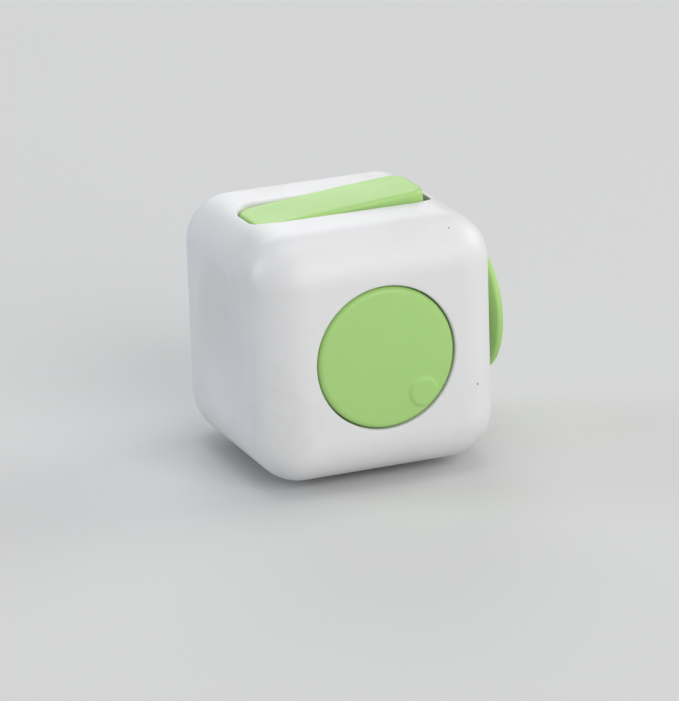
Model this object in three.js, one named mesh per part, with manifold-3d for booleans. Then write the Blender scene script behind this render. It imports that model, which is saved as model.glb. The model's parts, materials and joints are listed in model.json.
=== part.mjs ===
// Six-sided fidget cube: a hollow rounded shell whose faces carry a spin dial, a flip rocker, a
// glide pad, a thumb dish, three roller gears with a pressable ball, and five click buttons.
// Millimetres, +Z up, origin on the resting plane under the cube's centre.
//
// Each face has its own frame: x and y lie in the face, z points outwards and is 0 on the face.

import * as THREE from 'three';
import { mergeVertices } from 'three/addons/utils/BufferGeometryUtils.js';
import { RoundedBoxGeometry } from 'three/addons/geometries/RoundedBoxGeometry.js';
import Module from 'manifold-3d';

const wasm = await Module();
wasm.setup();

// ---------------------------------------------------------------- driving dimensions

const CUBE = 33; // across each pair of faces
const HALF = CUBE / 2;
const EDGE_R = 6.3; // outer fillet
const WALL = 1.8;
const SPLIT_Y = 13.2; // where the shell ends and the back cover starts
const SEAM = 0.2;
const RUN = 0.15; // radial running clearance of a shaft in its bore
const REST = 0.2; // gap between pieces that rest on each other
const PAST = 1; // how far a cutting tool runs past the piece that it cuts
const PLATE_R = 1.5; // corners of the flat plates inside

const screw = { headR: 1.3, headH: 0.9, shankR: 0.55, holeR: 0.75, socketR: 0.55, bossR: 1.5, tipGap: 0.4 };

const spin = {
  holeR: 9.75, dialR: 9.4, thick: 2.1, dome: 0.4, edgeR: 0.8, // disc
  nubX: 4.85, nubY: -5.15, nubR: 1.95, nubH: 0.4, // raised dot
  shaftR: 1.6, shaftEnd: -5.0, tapDepth: 2,
  washerR: 4.0, washerTop: -2.4, washerH: 0.5,
  bridgeTop: -3.1, bridgeH: 1.4, bridgeW: 4, hubR: 6, post: 9.9, boreEnd: -0.9,
};

const flip = {
  openX: 25.2, openY: 10, openR: 3.4, // opening in the shell
  capX: 23.6, capY: 9.3, capR: 2.9, capTop: 6.5, capH: 2.4, capBevel: 0.5, // above the pivot
  pivotZ: -6, tiltDeg: 4.8, pinR: 0.9, pinEnd: 7.2,
  hubX: 5.2, hubY: 9.0, hubLow: -2.4, sleeveR: 2.1, sleeveLow: -4.4, boreR: 1.25, boreTop: -1.5,
  plungerR: 1.0, plungerTip: -6.2, plungerTop: -3.6, springR: 0.75, springTurns: 3, wireR: 0.18,
  cheekIn: 5.4, cheekOut: 7.0, cheekTop: -3.0, cradleX: 8, floorTop: -12.9, floorH: 1.2,
  ridgeX: 0.8, ridgeTopX: 0.2, ridgeH: 0.45, ridgeY: 4, tabY: 9.4, tabEnd: 11.0, tabTop: -4.1, tabH: 1.2,
  boreEnd: -1.0,
};

const glide = {
  holeR: 5.0, floorR: 8.7, recessR: 9.9, recessD: 0.8,
  padR: 8.8, padTop: 3.4, padDish: 0.9, rimR: 7.9, underR: 3.6, underZ: 0.9,
  stemR: 2.2, stemEnd: -3.6, tapDepth: 2.6, travel: 1.6,
  slideTop: -3.8, slideH: 1.6, blockHalf: 4.2, slip: 0.2, bar: 1.4,
  frameTop: -2.2, plateH: 1.2, mouthR: 4.6, ringIn: 2.4, ringTop: -2.4, ringH: 0.8,
  retainerTop: -5.9, retainerH: 1.1, ear: 10.9, earTop: -4.2, earH: 1.2,
  boreEnd: -1.9,
};

// the thumb dish is cut by an ellipsoid whose semi-axis across the face is bowl
const dish = { width: 16.6, height: 20.5, depth: 2.2, bowl: 6, backing: 1.6 };

const roll = {
  gearX: [-5.2, 0, 5.2], gearY: 4.5, gearZ: -3.0, gearTip: 4.4, gearRoot: 3.75, gearW: 3.6, teeth: 14,
  toothTip: 0.16, toothRoot: 0.3, // half widths, as shares of the tooth spacing
  slotW: 4.2, slotHalf: 4.7, axleR: 0.9, axleEnd: 8.6,
  ballY: -6.0, ballZ: -2.1, ballR: 3.6, seatR: 3.85, pocketR: 3.75,
  cupR: 4.1, cupTop: -3.4, cupLow: -6.8, guideIn: 4.3, guideOut: 5.3, guideTop: -4.0, guideFoot: 0.4,
  plateTop: -7.8, plateH: 1.1, plateX: 8.8, plateLow: -10.0, plateHigh: 7.0,
  cheekIn: 7.5, cheekY: 1.6, cheekTop: -2.1, bossX: 7.3, bossY: -4.5, bossEnd: -7.6,
  boreEnd: -3.4, domeR: 2.2, domeWall: 0.2,
};

const click = {
  pitch: 6.2, holeR: 2.75, tipR: 2.5, tipZ: 1.0, tipFlatR: 1.9,
  flangeR: 3.3, flangeTop: -2.1, flangeH: 0.8, studR: 1.2, studEnd: -3.3,
  domeR: 2.4, domeTop: -3.6, domeLow: -4.5, domeWall: 0.25,
  boardTop: -4.7, boardH: 1.2, boardHalf: 8.0, bossEnd: -4.5, boreEnd: -1.0,
};

const post = {
  at: 11.6, near: 9.6, from: 6.0, to: 11.2, holeR: 1.35, boreFrom: 7.0,
  pegR: 1.05, pegEnd: 8.0, pegBase: 14.8,
};
const lip = { half: 13.2, r: 3.6, wall: 1.0, from: 11.6, to: 14.0 };

const STAND = HALF + click.tipZ; // height of the cube's centre above the surface it stands on

// ---------------------------------------------------------------- materials

const paint = (color, roughness, metalness = 0) =>
  new THREE.MeshStandardMaterial({ color, roughness, metalness });
const white = paint(0xd9d9d8, 0.45);
const green = paint(0x9fc97a, 0.4);
const steel = paint(0xb4b7ba, 0.3, 1);
const grey = paint(0x8d9092, 0.6);
const silicone = paint(0xd8d4c4, 0.8);

// ---------------------------------------------------------------- solids

// a closed three.js geometry as a solid that can be joined and cut
function solid(geometry) {
  const bare = geometry.clone();
  bare.deleteAttribute('normal');
  bare.deleteAttribute('uv');
  const merged = mergeVertices(bare, 1e-4);
  const vertProperties = new Float32Array(merged.attributes.position.array);
  const triVerts = new Uint32Array(merged.index.array);
  return new wasm.Manifold(new wasm.Mesh({ numProp: 3, vertProperties, triVerts }));
}

function geometryOf(body) {
  const mesh = body.getMesh();
  const geometry = new THREE.BufferGeometry();
  geometry.setAttribute('position', new THREE.BufferAttribute(new Float32Array(mesh.vertProperties), 3));
  geometry.setIndex(new THREE.BufferAttribute(new Uint32Array(mesh.triVerts), 1));
  geometry.computeVertexNormals();
  return geometry;
}

const join = (...parts) => parts.reduce((whole, part) => whole.add(part));
const cut = (whole, ...tools) => tools.reduce((rest, tool) => rest.subtract(tool), whole);

function block(x0, x1, y0, y1, z0, z1) {
  const geometry = new THREE.BoxGeometry(x1 - x0, y1 - y0, z1 - z0);
  geometry.translate((x0 + x1) / 2, (y0 + y1) / 2, (z0 + z1) / 2);
  return solid(geometry);
}

// a round bar along z between two heights
function rod(radius, low, high, x = 0, y = 0, sides = 20) {
  const geometry = new THREE.CylinderGeometry(radius, radius, high - low, sides);
  geometry.rotateX(Math.PI / 2);
  geometry.translate(x, y, (low + high) / 2);
  return solid(geometry);
}

// a round bar along x or y, given by the two ends and the other two coordinates
function barX(radius, from, to, y, z, sides = 20) {
  const geometry = new THREE.CylinderGeometry(radius, radius, to - from, sides);
  geometry.rotateZ(-Math.PI / 2);
  geometry.translate((from + to) / 2, y, z);
  return solid(geometry);
}

function barY(radius, from, to, x, z, sides = 20) {
  const geometry = new THREE.CylinderGeometry(radius, radius, to - from, sides);
  geometry.translate(x, (from + to) / 2, z);
  return solid(geometry);
}

// a profile of [radius, z] points turned about z; it starts and ends on the axis or closes on itself
function turned(profile, sides, x = 0, y = 0) {
  const geometry = new THREE.LatheGeometry(profile.map(([r, z]) => new THREE.Vector2(r, z)), sides);
  geometry.rotateX(Math.PI / 2);
  geometry.translate(x, y, 0);
  const body = solid(geometry);
  return body.volume() < 0 ? solid(flipped(geometry)) : body;
}

function flipped(geometry) {
  const copy = geometry.clone();
  const index = copy.index.array;
  for (let i = 0; i < index.length; i += 3) {
    [index[i + 1], index[i + 2]] = [index[i + 2], index[i + 1]];
  }
  return copy;
}

function roundedRect(width, height, radius) {
  const w = width / 2;
  const h = height / 2;
  const shape = new THREE.Shape();
  shape.moveTo(-w + radius, -h);
  shape.lineTo(w - radius, -h);
  shape.absarc(w - radius, -h + radius, radius, -Math.PI / 2, 0);
  shape.lineTo(w, h - radius);
  shape.absarc(w - radius, h - radius, radius, 0, Math.PI / 2);
  shape.lineTo(-w + radius, h);
  shape.absarc(-w + radius, h - radius, radius, Math.PI / 2, Math.PI);
  shape.lineTo(-w, -h + radius);
  shape.absarc(-w + radius, -h + radius, radius, Math.PI, 1.5 * Math.PI);
  return shape;
}

// a flat shape given thickness along z, with an optional rounded top edge
function plate(shape, low, high, bevel = 0, curveSegments = 4) {
  const geometry = new THREE.ExtrudeGeometry(shape, {
    depth: high - low - 2 * bevel,
    bevelEnabled: bevel > 0,
    bevelThickness: bevel,
    bevelSize: bevel,
    bevelOffset: -bevel,
    bevelSegments: 3,
    curveSegments,
  });
  geometry.translate(0, 0, low + bevel);
  return solid(geometry);
}

function ellipsoid(ax, ay, az, x, y, z, sides = 30) {
  const geometry = new THREE.SphereGeometry(1, sides, sides / 2);
  geometry.scale(ax, ay, az);
  geometry.translate(x, y, z);
  return solid(geometry);
}

// a body that is modelled in a face's frame, moved to the cube's frame
function onFace(body, matrix) {
  const geometry = geometryOf(body);
  geometry.applyMatrix4(matrix);
  return solid(geometry);
}

// ---------------------------------------------------------------- face frames

function faceMatrix(x, y, z) {
  const matrix = new THREE.Matrix4().makeBasis(x, y, z);
  return matrix.setPosition(z.clone().multiplyScalar(HALF));
}

const axis = (x, y, z) => new THREE.Vector3(x, y, z);
const faces = {
  top: faceMatrix(axis(1, 0, 0), axis(0, 1, 0), axis(0, 0, 1)),
  bottom: faceMatrix(axis(1, 0, 0), axis(0, -1, 0), axis(0, 0, -1)),
  front: faceMatrix(axis(1, 0, 0), axis(0, 0, 1), axis(0, -1, 0)),
  back: faceMatrix(axis(-1, 0, 0), axis(0, 0, 1), axis(0, 1, 0)),
  right: faceMatrix(axis(0, 1, 0), axis(0, 0, 1), axis(1, 0, 0)),
};

const cube = new THREE.Group();
cube.position.set(0, 0, STAND);

function faceGroup(matrix) {
  const group = new THREE.Group();
  group.applyMatrix4(matrix);
  cube.add(group);
  return group;
}

function addPiece(group, name, body, material) {
  const mesh = new THREE.Mesh(geometryOf(body), material);
  mesh.name = name;
  group.add(mesh);
  return mesh;
}

// a screw whose head's bearing side is at z = 0, the shank pointing along +z
function screwBody(shankLength) {
  const { headR, headH, shankR, socketR } = screw;
  return turned([
    [0, shankLength],
    [shankR, shankLength - 0.4],
    [shankR, 0],
    [headR, 0],
    [headR * 0.85, -headH],
    [socketR, -headH],
    [socketR, -headH * 0.4],
    [0, -headH * 0.4],
  ], 10);
}

function addScrew(group, name, x, y, seat, tip) {
  const mesh = addPiece(group, name, screwBody(tip - seat), steel);
  mesh.position.set(x, y, seat);
  return mesh;
}

// ---------------------------------------------------------------- shell and back cover

const outer = solid(new RoundedBoxGeometry(CUBE, CUBE, CUBE, 4, EDGE_R));

function hollowShell() {
  const inside = CUBE - 2 * WALL;
  const inner = solid(new RoundedBoxGeometry(inside, inside, inside, 2, EDGE_R - WALL));
  // the thumb dish is a cap of an ellipsoid; the wall behind it follows it at an offset
  const capRatio = Math.sqrt(1 - (1 - dish.depth / dish.bowl) ** 2);
  const semiY = dish.width / 2 / capRatio;
  const semiZ = dish.height / 2 / capRatio;
  const centreX = -(HALF + dish.bowl - dish.depth);
  const bowl = ellipsoid(dish.bowl, semiY, semiZ, centreX, 0, 0);
  const grow = dish.backing;
  const backing = ellipsoid(dish.bowl + grow, semiY + grow, semiZ + grow, centreX, 0, 0, 24);
  return cut(outer, cut(inner, backing), bowl);
}

function boss(x, y, low, boreEnd) {
  return {
    body: rod(screw.bossR, low, -WALL / 2, x, y, 14),
    bore: rod(screw.holeR, low - PAST, boreEnd, x, y, 10),
  };
}

function withBosses(shell, matrix, list) {
  const raised = join(shell, ...list.map((b) => onFace(b.body, matrix)));
  return cut(raised, ...list.map((b) => onFace(b.bore, matrix)));
}

const spread = (pairs, pitch) => pairs.map(([x, y]) => [x * pitch, y * pitch]);
const dialPosts = spread([[1, 1], [-1, -1]], spin.post);
const boardPosts = spread([[1, 0], [0, 1], [-1, 0], [0, -1]], click.pitch);
const buttonSpots = spread([[0, 0], [-1, 1], [1, 1], [-1, -1], [1, -1]], click.pitch);
const corners = spread([[-1, -1], [-1, 1], [1, -1], [1, 1]], post.at);
const frontBosses = dialPosts.map(([x, y]) => boss(x, y, spin.bridgeTop + REST, spin.boreEnd));
const topBosses = [-1, 1].map((s) => boss(0, s * flip.tabY, flip.tabTop + REST, flip.boreEnd));
const rightBosses = [-1, 1].map((s) => boss(0, s * glide.ear, glide.earTop + REST, glide.boreEnd));
const bottomBosses = boardPosts.map(([x, y]) => boss(x, y, click.bossEnd, click.boreEnd));
const backBosses = [-1, 1].map((s) => boss(s * roll.bossX, roll.bossY, roll.bossEnd, roll.boreEnd));

// a square post that fills one long inner corner of the shell
function cornerBlock(sideX, sideZ) {
  const [x0, x1] = [sideX * post.near, sideX * HALF].sort((p, q) => p - q);
  const [z0, z1] = [sideZ * post.near, sideZ * HALF].sort((p, q) => p - q);
  return block(x0, x1, post.from, post.to, z0, z1).intersect(outer);
}

function bodyShell(hollow) {
  const ahead = block(-HALF, HALF, -HALF, SPLIT_Y, -HALF, HALF);
  const sockets = corners.map(([x, z]) => cornerBlock(Math.sign(x), Math.sign(z)));
  const bores = corners.map(([x, z]) => barY(post.holeR, post.boreFrom, post.to + PAST, x, z, 12));
  let shell = join(hollow.intersect(ahead), ...sockets);
  shell = cut(shell, ...bores);
  shell = withBosses(shell, faces.front, frontBosses);
  shell = withBosses(shell, faces.top, topBosses);
  shell = withBosses(shell, faces.right, rightBosses);
  shell = withBosses(shell, faces.bottom, bottomBosses);
  const low = -WALL - PAST;
  const dialHole = rod(spin.holeR, low, PAST, 0, 0, 40);
  const opening = plate(roundedRect(flip.openX, flip.openY, flip.openR), low, PAST, 0, 6);
  const padHole = turned([
    [0, low],
    [glide.holeR, low],
    [glide.holeR, -glide.recessD],
    [glide.floorR, -glide.recessD],
    [glide.recessR, 0],
    [glide.recessR, PAST],
    [0, PAST],
  ], 36);
  const buttonHoles = buttonSpots.map(([x, y]) => rod(click.holeR, -WALL - REST, PAST, x, y, 20));
  return cut(
    shell,
    onFace(dialHole, faces.front),
    onFace(opening, faces.top),
    onFace(padHole, faces.right),
    ...buttonHoles.map((hole) => onFace(hole, faces.bottom)),
  );
}

function backCover(hollow) {
  const behind = block(-HALF, HALF, SPLIT_Y + SEAM, HALF, -HALF, HALF);
  const pegs = corners.map(([x, z]) => barY(post.pegR, post.pegEnd, post.pegBase, x, z, 12));
  const size = 2 * lip.half;
  const ring = roundedRect(size, size, lip.r);
  ring.holes.push(roundedRect(size - 2 * lip.wall, size - 2 * lip.wall, lip.r - lip.wall));
  const rim = onFace(plate(ring, lip.from - HALF, lip.to - HALF), faces.back);
  const cover = withBosses(join(hollow.intersect(behind), rim, ...pegs), faces.back, backBosses);
  const slots = roll.gearX.map((x) =>
    block(x - roll.slotW / 2, x + roll.slotW / 2, roll.gearY - roll.slotHalf, roll.gearY + roll.slotHalf,
      lip.from - HALF - PAST, PAST));
  const seat = ellipsoid(roll.seatR, roll.seatR, roll.seatR, 0, roll.ballY, roll.ballZ, 28);
  return cut(cover, ...[...slots, seat].map((tool) => onFace(tool, faces.back)));
}

const hollow = hollowShell();
addPiece(cube, 'body_shell', bodyShell(hollow), white);
addPiece(cube, 'back_cover', backCover(hollow), white);

// ---------------------------------------------------------------- front: spin dial

function dialBody() {
  const { dialR, thick, dome, edgeR, shaftR, shaftEnd } = spin;
  const rimZ = -edgeR + dome * 0.4;
  const edge = [0, 30, 60, 90].map((deg) => {
    const turn = THREE.MathUtils.degToRad(90 - deg);
    return [dialR - edgeR + edgeR * Math.cos(turn), rimZ + edgeR * Math.sin(turn)];
  });
  const disc = turned([
    [0, dome],
    [dialR * 0.5, dome * 0.87],
    ...edge,
    [dialR, -thick],
    [shaftR, -thick],
    [shaftR, shaftEnd],
    [screw.holeR, shaftEnd],
    [screw.holeR, shaftEnd + spin.tapDepth],
    [0, shaftEnd + spin.tapDepth],
  ], 40);
  const nubTop = dome * 0.87 + spin.nubH;
  const nub = turned([
    [0, nubTop],
    [spin.nubR * 0.6, nubTop - 0.06],
    [spin.nubR * 0.9, nubTop - 0.2],
    [spin.nubR, 0],
    [spin.nubR, -0.6],
    [0, -0.6],
  ], 16, spin.nubX, spin.nubY);
  return join(disc, nub);
}

function bridgeBody() {
  const { bridgeW, bridgeTop, bridgeH } = spin;
  const reach = 2 * spin.post * Math.SQRT2 + bridgeW;
  const strap = new THREE.ExtrudeGeometry(roundedRect(reach, bridgeW, bridgeW / 2 - 0.01), {
    depth: bridgeH,
    bevelEnabled: false,
    curveSegments: 5,
  });
  strap.translate(0, 0, bridgeTop - bridgeH);
  strap.rotateZ(Math.PI / 4);
  const hub = rod(spin.hubR, bridgeTop - bridgeH, bridgeTop, 0, 0, 32);
  const [low, high] = [bridgeTop - bridgeH - PAST, bridgeTop + PAST];
  const bore = rod(spin.shaftR + RUN, low, high, 0, 0, 24);
  const holes = dialPosts.map(([x, y]) => rod(screw.holeR, low, high, x, y, 12));
  return cut(join(solid(strap), hub), bore, ...holes);
}

function washerBody(innerR, outerR, low, high, sides = 20) {
  return turned([[innerR, low], [outerR, low], [outerR, high], [innerR, high], [innerR, low]], sides);
}

const front = faceGroup(faces.front);
const bridgeLow = spin.bridgeTop - spin.bridgeH;
addPiece(front, 'spin_dial', dialBody(), green);
addPiece(front, 'dial_washer',
  washerBody(spin.shaftR + RUN, spin.washerR, spin.washerTop - spin.washerH, spin.washerTop), silicone);
addPiece(front, 'dial_bridge', bridgeBody(), grey);
addScrew(front, 'dial_screw', 0, 0, spin.shaftEnd - REST, spin.shaftEnd + spin.tapDepth - screw.tipGap);
dialPosts.forEach(([x, y], i) => {
  addScrew(front, `dial_bridge_screw_${i + 1}`, x, y, bridgeLow - REST, spin.boreEnd - screw.tipGap);
});

// ---------------------------------------------------------------- top: flip rocker

function rockerBody() {
  const { capX, capY, capR, capTop, capH, hubX, hubY } = flip;
  const cap = plate(roundedRect(capX, capY, capR), capTop - capH, capTop, flip.capBevel);
  const hub = block(-hubX / 2, hubX / 2, -hubY / 2, hubY / 2, flip.hubLow, capTop - capH / 2);
  const sleeve = rod(flip.sleeveR, flip.sleeveLow, flip.boreTop, 0, 0, 20);
  const pinHole = barY(flip.pinR + RUN, -capY, capY, 0, 0);
  const bore = rod(flip.boreR, flip.sleeveLow - PAST, flip.boreTop, 0, 0, 16);
  return cut(join(cap, hub, sleeve), pinHole, bore);
}

function plungerBody() {
  const r = flip.plungerR;
  const tip = [90, 60, 30, 0].map((deg) => {
    const turn = THREE.MathUtils.degToRad(deg);
    return [r * Math.cos(turn), flip.plungerTip + r - r * Math.sin(turn)];
  });
  return turned([[0, flip.plungerTip], ...tip.slice(1), [r, flip.plungerTop], [0, flip.plungerTop]], 16);
}

class HelixCurve extends THREE.Curve {
  constructor(radius, low, high, turns) {
    super();
    Object.assign(this, { radius, low, high, turns });
  }

  getPoint(t, target = new THREE.Vector3()) {
    const angle = t * this.turns * 2 * Math.PI;
    const z = this.low + (this.high - this.low) * t;
    return target.set(this.radius * Math.cos(angle), this.radius * Math.sin(angle), z);
  }
}

function coilSpring(radius, low, high, turns, wireR) {
  const section = new THREE.Shape();
  section.absarc(0, 0, wireR, 0, 2 * Math.PI);
  return solid(new THREE.ExtrudeGeometry(section, {
    steps: Math.round(turns * 9),
    curveSegments: 3,
    extrudePath: new HelixCurve(radius, low + wireR, high - wireR, turns),
  }));
}

function cradleBody() {
  const { cheekIn, cheekOut, cheekTop, floorTop, floorH, tabY, tabEnd, tabTop, tabH, cradleX } = flip;
  const half = cradleX / 2;
  const floor = block(-half, half, -cheekOut, cheekOut, floorTop - floorH, floorTop);
  const sides = [-1, 1].flatMap((s) => {
    const [inner, outer] = [s * cheekIn, s * cheekOut].sort((a, b) => a - b);
    const [near, far] = [s * (cheekOut - 0.5), s * tabEnd].sort((a, b) => a - b);
    return [
      block(-half, half, inner, outer, floorTop - floorH, cheekTop),
      block(-half, half, near, far, tabTop - tabH, tabTop),
    ];
  });
  const ridgeShape = new THREE.Shape();
  ridgeShape.moveTo(-flip.ridgeX, -floorH / 2);
  ridgeShape.lineTo(flip.ridgeX, -floorH / 2);
  ridgeShape.lineTo(flip.ridgeX, 0);
  ridgeShape.lineTo(flip.ridgeTopX, flip.ridgeH);
  ridgeShape.lineTo(-flip.ridgeTopX, flip.ridgeH);
  ridgeShape.lineTo(-flip.ridgeX, 0);
  const ridge = new THREE.ExtrudeGeometry(ridgeShape, { depth: flip.ridgeY, bevelEnabled: false });
  ridge.rotateX(Math.PI / 2);
  ridge.translate(0, flip.ridgeY / 2, floorTop);
  const pinHole = barY(flip.pinR + RUN, -cheekOut - PAST, cheekOut + PAST, 0, flip.pivotZ);
  const [low, high] = [tabTop - tabH - PAST, tabTop + PAST];
  const holes = [-1, 1].map((s) => rod(screw.holeR, low, high, 0, s * tabY, 12));
  return cut(join(floor, ...sides, solid(ridge)), pinHole, ...holes);
}

const top = faceGroup(faces.top);
addPiece(top, 'rocker_cradle', cradleBody(), grey);
addPiece(top, 'rocker_pin', barY(flip.pinR, -flip.pinEnd, flip.pinEnd, 0, flip.pivotZ), steel);
[-1, 1].forEach((s, i) => {
  addScrew(top, `cradle_screw_${i + 1}`, 0, s * flip.tabY, flip.tabTop - flip.tabH - REST,
    flip.boreEnd - screw.tipGap);
});
const rocker = new THREE.Group();
rocker.position.z = flip.pivotZ;
rocker.rotation.y = -THREE.MathUtils.degToRad(flip.tiltDeg);
top.add(rocker);
addPiece(rocker, 'flip_rocker', rockerBody(), green);
addPiece(rocker, 'detent_plunger', plungerBody(), steel);
addPiece(rocker, 'detent_spring',
  coilSpring(flip.springR, flip.plungerTop + REST, flip.boreTop - REST, flip.springTurns, flip.wireR), steel);

// ---------------------------------------------------------------- right: glide pad

function padBody() {
  const { padR, padTop, padDish, rimR, underR, underZ, stemR, stemEnd, tapDepth } = glide;
  return turned([
    [0, padTop - padDish],
    [rimR * 0.5, padTop - padDish * 0.8],
    [rimR * 0.8, padTop - padDish * 0.35],
    [rimR * 0.95, padTop - 0.05],
    [rimR, padTop],
    [padR - 0.35, padTop - 0.25],
    [padR, padTop - 0.7],
    [padR - 0.05, padTop - 1.2],
    [padR - 0.5, padTop - 1.5],
    [underR, underZ],
    [stemR, underZ],
    [stemR, stemEnd],
    [screw.holeR, stemEnd],
    [screw.holeR, stemEnd + tapDepth],
    [0, stemEnd + tapDepth],
  ], 36);
}

const slideX = glide.blockHalf + glide.slip + glide.bar; // half width of the cross slide
const slideY = glide.blockHalf + glide.travel + glide.slip + glide.bar;
const windowX = slideX + glide.travel + glide.slip;
const windowY = slideY + glide.slip;
const slideLow = glide.slideTop - glide.slideH;

function crossSlideBody() {
  const inX = glide.blockHalf + glide.slip;
  const inY = glide.blockHalf + glide.travel + glide.slip;
  const outer = block(-slideX, slideX, -slideY, slideY, slideLow, glide.slideTop);
  return cut(outer, block(-inX, inX, -inY, inY, slideLow - PAST, glide.slideTop + PAST));
}

function glideFrameBody() {
  const outX = windowX + glide.bar;
  const outY = windowY + glide.bar;
  const low = glide.retainerTop + REST;
  const outer = block(-outX, outX, -outY, outY, low, glide.frameTop);
  const pocket = block(-windowX, windowX, -windowY, windowY, low - PAST, glide.frameTop - glide.plateH);
  const mouth = rod(glide.mouthR, low, 0, 0, 0, 32);
  const ears = block(-screw.bossR, screw.bossR, -glide.ear - screw.bossR, glide.ear + screw.bossR,
    glide.earTop - glide.earH, glide.earTop);
  const holes = [-1, 1].map((s) => rod(screw.holeR, low, 0, 0, s * glide.ear, 12));
  return cut(join(outer, ears), pocket, mouth, ...holes);
}

function retainerBody() {
  const outX = windowX + glide.bar;
  const outY = windowY + glide.bar;
  const low = glide.retainerTop - glide.retainerH;
  const sheet = plate(roundedRect(2 * outX, 2 * outY, PLATE_R), low, glide.retainerTop, 0, 2);
  return cut(sheet, rod(glide.mouthR, low - PAST, 0, 0, 0, 32));
}

const right = faceGroup(faces.right);
const blockHalf = glide.blockHalf;
addPiece(right, 'glide_pad', padBody(), green);
addPiece(right, 'glide_block', cut(
  block(-blockHalf, blockHalf, -blockHalf, blockHalf, slideLow, glide.slideTop),
  rod(screw.holeR, slideLow - PAST, 0),
), grey);
addPiece(right, 'glide_cross_slide', crossSlideBody(), grey);
addPiece(right, 'glide_frame', glideFrameBody(), grey);
addPiece(right, 'glide_retainer', retainerBody(), steel);
addPiece(right, 'glide_return_ring',
  washerBody(glide.ringIn, glide.mouthR - REST, glide.ringTop - glide.ringH, glide.ringTop), silicone);
addScrew(right, 'glide_screw', 0, 0, slideLow - REST, glide.stemEnd + glide.tapDepth - screw.tipGap);
[-1, 1].forEach((s, i) => {
  addScrew(right, `glide_frame_screw_${i + 1}`, 0, s * glide.ear, glide.earTop - glide.earH - REST,
    glide.boreEnd - screw.tipGap);
});

// ---------------------------------------------------------------- back: roller gears and ball

function gearBody() {
  const shape = new THREE.Shape();
  const step = (2 * Math.PI) / roll.teeth;
  const { toothRoot, toothTip, gearRoot, gearTip } = roll;
  const outline = [[-toothRoot, gearRoot], [-toothTip, gearTip], [toothTip, gearTip], [toothRoot, gearRoot]];
  for (let tooth = 0; tooth < roll.teeth; tooth += 1) {
    outline.forEach(([share, radius]) => {
      const angle = (tooth + share) * step;
      const point = [radius * Math.cos(angle), radius * Math.sin(angle)];
      if (tooth === 0 && share === outline[0][0]) shape.moveTo(...point);
      else shape.lineTo(...point);
    });
  }
  const wheel = plate(shape, -roll.gearW / 2, roll.gearW / 2);
  return cut(wheel, rod(roll.axleR + RUN, -roll.gearW, roll.gearW, 0, 0, 16));
}

function cupBody() {
  const outer = rod(roll.cupR, roll.cupLow, roll.cupTop, 0, roll.ballY, 24);
  return cut(outer, ellipsoid(roll.pocketR, roll.pocketR, roll.pocketR, 0, roll.ballY, roll.ballZ, 24));
}

function rollFrameBody() {
  const { plateTop, plateH, plateX, cheekIn, cheekY, cheekTop, gearY, bossX, bossY } = roll;
  const low = plateTop - plateH;
  const back = block(-plateX, plateX, roll.plateLow, roll.plateHigh, low, plateTop);
  const cheeks = [-1, 1].map((s) => {
    const [x0, x1] = [s * cheekIn, s * plateX].sort((p, q) => p - q);
    return block(x0, x1, gearY - cheekY, gearY + cheekY, low, cheekTop);
  });
  const guide = cut(
    rod(roll.guideOut, plateTop - roll.guideFoot, roll.guideTop, 0, roll.ballY, 24),
    rod(roll.guideIn, plateTop, 0, 0, roll.ballY, 24),
  );
  const [holeLow, holeHigh] = [low - PAST, plateTop + PAST];
  const holes = [-1, 1].map((s) => rod(screw.holeR, holeLow, holeHigh, s * bossX, bossY, 12));
  const axleHole = barX(roll.axleR + RUN, -plateX - PAST, plateX + PAST, gearY, roll.gearZ, 16);
  return cut(join(back, ...cheeks, guide), axleHole, ...holes);
}

// a thin metal cap with an open underside
function snapDome(radius, low, high, wall, x, y) {
  const rise = high - low;
  return turned([
    [0, high],
    [radius * 0.5, high - rise * 0.25],
    [radius, low + wall],
    [radius, low],
    [radius * 0.85, low],
    [radius * 0.45, high - rise * 0.25 - wall],
    [0, high - wall],
  ], 14, x, y);
}

const back = faceGroup(faces.back);
['gear_left', 'gear_middle', 'gear_right'].forEach((name, i) => {
  const gear = addPiece(back, name, gearBody(), steel);
  gear.position.set(roll.gearX[i], roll.gearY, roll.gearZ);
  gear.rotation.y = Math.PI / 2;
});
addPiece(back, 'gear_axle', barX(roll.axleR, -roll.axleEnd, roll.axleEnd, roll.gearY, roll.gearZ, 16), steel);
addPiece(back, 'roller_ball',
  ellipsoid(roll.ballR, roll.ballR, roll.ballR, 0, roll.ballY, roll.ballZ, 24), steel);
addPiece(back, 'ball_cup', cupBody(), grey);
addPiece(back, 'ball_dome',
  snapDome(roll.domeR, roll.plateTop + REST, roll.cupLow - REST, roll.domeWall, 0, roll.ballY), steel);
addPiece(back, 'roll_frame', rollFrameBody(), grey);
[-1, 1].forEach((s, i) => {
  addScrew(back, `roll_frame_screw_${i + 1}`, s * roll.bossX, roll.bossY,
    roll.plateTop - roll.plateH - REST, roll.boreEnd - screw.tipGap);
});

// ---------------------------------------------------------------- bottom: click buttons

function buttonBody(x, y) {
  const { tipR, tipZ, tipFlatR, flangeR, flangeTop, flangeH, studR, studEnd } = click;
  return turned([
    [0, tipZ],
    [tipFlatR, tipZ],
    [tipR - 0.2, tipZ - 0.2],
    [tipR, tipZ - 0.6],
    [tipR, flangeTop],
    [flangeR, flangeTop],
    [flangeR, flangeTop - flangeH],
    [studR, flangeTop - flangeH],
    [studR, studEnd],
    [0, studEnd],
  ], 20, x, y);
}

function siliconePad(x, y) {
  const { domeR, domeLow, domeTop } = click;
  return turned([[0, domeTop], [domeR * 0.5, domeTop], [domeR * 0.9, domeLow], [0, domeLow]], 16, x, y);
}

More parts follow.
